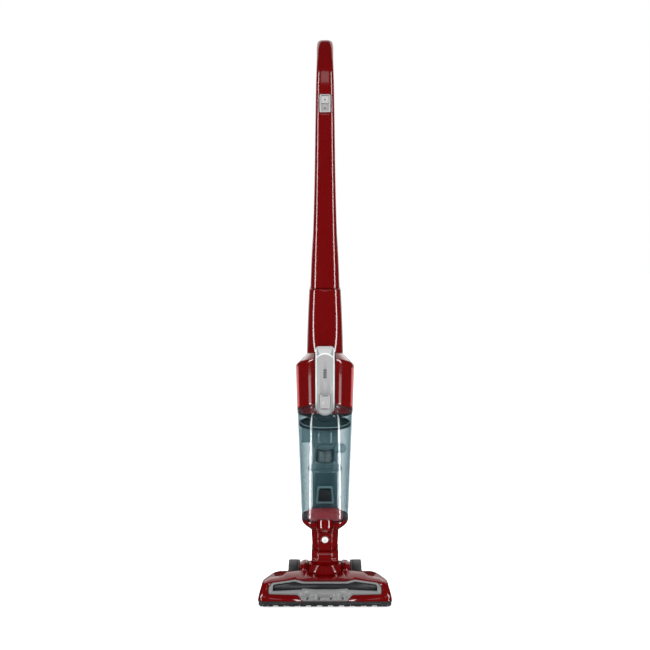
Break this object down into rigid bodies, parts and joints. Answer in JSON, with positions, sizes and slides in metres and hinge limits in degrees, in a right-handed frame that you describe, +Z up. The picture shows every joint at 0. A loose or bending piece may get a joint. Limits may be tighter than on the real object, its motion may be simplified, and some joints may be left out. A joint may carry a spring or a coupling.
{
  "type": "cordless stick vacuum",
  "caption": "Upright cordless stick vacuum: clear dust bin with cyclone insert, motor and battery body, curved handle, swivel yoke, wide floor head with driven brush and rear wheels.",
  "frame": {"origin": "on the floor, under the centre of the standing machine's bounding box", "axes": "+Z up, -Y is the front of the floor head and the control panel, +X is the right-hand side seen from the front"},
  "size_m": [0.2696, 0.1298, 1.1184],
  "materials": {
    "red_gloss": "gloss",
    "black_plastic": "satin",
    "dark_gloss": "gloss",
    "silver_paint": "satin silver",
    "fascia_grey": "satin metallic grey",
    "smoked_clear": "smoked clear",
    "bin_clear": "blue-tinted clear",
    "inner_clear": "smoked clear",
    "lamp_clear": "clear",
    "rubber_black": "soft",
    "wheel_grey": "soft",
    "steel": "bright",
    "bristle": "nylon bristle",
    "brush_grey": "satin",
    "pcb": "lacquer",
    "motor_metal": "zinc",
    "cell_wrap": "shrink wrap",
    "filter_cloth": "pleated cloth",
    "foam": "open foam",
    "felt": "felt",
    "copper_wire": "cable sheath"
  },
  "bodies": {
    "floor_head": {"head_cover": "red_gloss", "head_fascia": "fascia_grey", "head_window": "smoked_clear", "headlight_lenses": "lamp_clear", "headlight_board": "pcb", "head_base": "black_plastic", "front_bumper": "rubber_black", "sole_glides": "felt", "head_screws": "steel", "head_pins": "steel", "brush_bearings": "brush_grey", "brush_motor": "motor_metal", "drive_belt": "rubber_black"},
    "brush_roll": {"brush_core": "brush_grey", "brush_bristles": "bristle"},
    "motor_pulley": {"motor_pulley": "steel"},
    "wheel_left": {"wheel_left": "wheel_grey"},
    "wheel_right": {"wheel_right": "wheel_grey"},
    "front_roller_left": {"front_roller_left": "black_plastic"},
    "front_roller_right": {"front_roller_right": "black_plastic"},
    "yoke": {"pivot_yoke": "red_gloss"},
    "main_body": {"neck_tube": "red_gloss", "bin_seat": "red_gloss", "bin_hinge_pin": "steel", "spine_duct": "dark_gloss", "spine_cover": "red_gloss", "body_front_shell": "red_gloss", "body_rear_shell": "red_gloss", "control_panel": "silver_paint", "charge_lamps": "smoked_clear", "circuit_boards": "pcb", "motor_bulkhead": "black_plastic", "intake_seal": "rubber_black", "fan_housing": "black_plastic", "suction_motor": "motor_metal", "motor_mount": "rubber_black", "exhaust_filter": "foam", "battery_cells": "cell_wrap", "battery_holder": "black_plastic", "charging_socket": "black_plastic", "handle_front_shell": "red_gloss", "handle_rear_shell": "red_gloss", "handle_sleeve": "black_plastic", "switch_bezel": "silver_paint", "wiring_loom": "copper_wire", "body_screws": "steel"},
    "nozzle_button": {"nozzle_release_button": "silver_paint"},
    "bin_button": {"bin_release_button": "silver_paint"},
    "power_slider": {"power_slider": "silver_paint"},
    "fan_rotor": {"fan_impeller": "black_plastic"},
    "dust_bin": {"bin_shell": "bin_clear", "bin_foot": "red_gloss", "inlet_frame": "dark_gloss", "separator_lid": "dark_gloss", "separator_gasket": "rubber_black", "cyclone_tube": "inner_clear", "mesh_shroud": "inner_clear", "dust_skirt": "inner_clear", "pleated_filter": "filter_cloth"},
    "inlet_flap": {"inlet_flap": "rubber_black"}
  },
  "joints": [
    {"name": "yoke_pitch", "type": "hinge", "parent": "floor_head", "child": "yoke", "pos_m": [0, 0.014, 0.038], "axis": [-1, 0, 0], "range_deg": [0, 80]},
    {"name": "body_swivel", "type": "hinge", "parent": "yoke", "child": "main_body", "pos_m": [0, 0, 0.09], "axis": [0, 0, 1], "range_deg": [-90, 90]},
    {"name": "brush_spin", "type": "hinge", "parent": "floor_head", "child": "brush_roll", "pos_m": [0, -0.036, 0.0165], "axis": [1, 0, 0], "continuous": true},
    {"name": "motor_spin", "type": "hinge", "parent": "floor_head", "child": "motor_pulley", "pos_m": [0, -0.0145, 0.036], "axis": [1, 0, 0], "continuous": true},
    {"name": "wheel_left_spin", "type": "hinge", "parent": "floor_head", "child": "wheel_left", "pos_m": [-0.065, 0.0379, 0.027], "axis": [1, 0, 0], "continuous": true},
    {"name": "wheel_right_spin", "type": "hinge", "parent": "floor_head", "child": "wheel_right", "pos_m": [0.065, 0.0379, 0.027], "axis": [1, 0, 0], "continuous": true},
    {"name": "front_roller_left_spin", "type": "hinge", "parent": "floor_head", "child": "front_roller_left", "pos_m": [-0.12, -0.0575, 0.0052], "axis": [1, 0, 0], "continuous": true},
    {"name": "front_roller_right_spin", "type": "hinge", "parent": "floor_head", "child": "front_roller_right", "pos_m": [0.12, -0.0575, 0.0052], "axis": [1, 0, 0], "continuous": true},
    {"name": "nozzle_button_press", "type": "slide", "parent": "main_body", "child": "nozzle_button", "axis": [0, 1, 0], "range_m": [0, 0.002], "stiffness_N_per_m": 400},
    {"name": "bin_button_press", "type": "slide", "parent": "main_body", "child": "bin_button", "axis": [0, 1, 0], "range_m": [0, 0.0025], "stiffness_N_per_m": 400},
    {"name": "power_slide", "type": "slide", "parent": "main_body", "child": "power_slider", "axis": [0, 0, -1], "range_m": [0, 0.012]},
    {"name": "fan_spin", "type": "hinge", "parent": "main_body", "child": "fan_rotor", "pos_m": [0, 0, 0.43], "axis": [0, 0, 1], "continuous": true},
    {"name": "bin_tilt", "type": "hinge", "parent": "main_body", "child": "dust_bin", "pos_m": [0, -0.0385, 0.153], "axis": [1, 0, 0], "range_deg": [0, 30]},
    {"name": "flap_swing", "type": "hinge", "parent": "dust_bin", "child": "inlet_flap", "pos_m": [0, 0.034, 0.21], "axis": [-1, 0, 0], "range_deg": [0, 60]}
  ],
  "couplings": [
    {"joint": "motor_spin", "follows": "brush_spin", "ratio": 1.6}
  ]
}
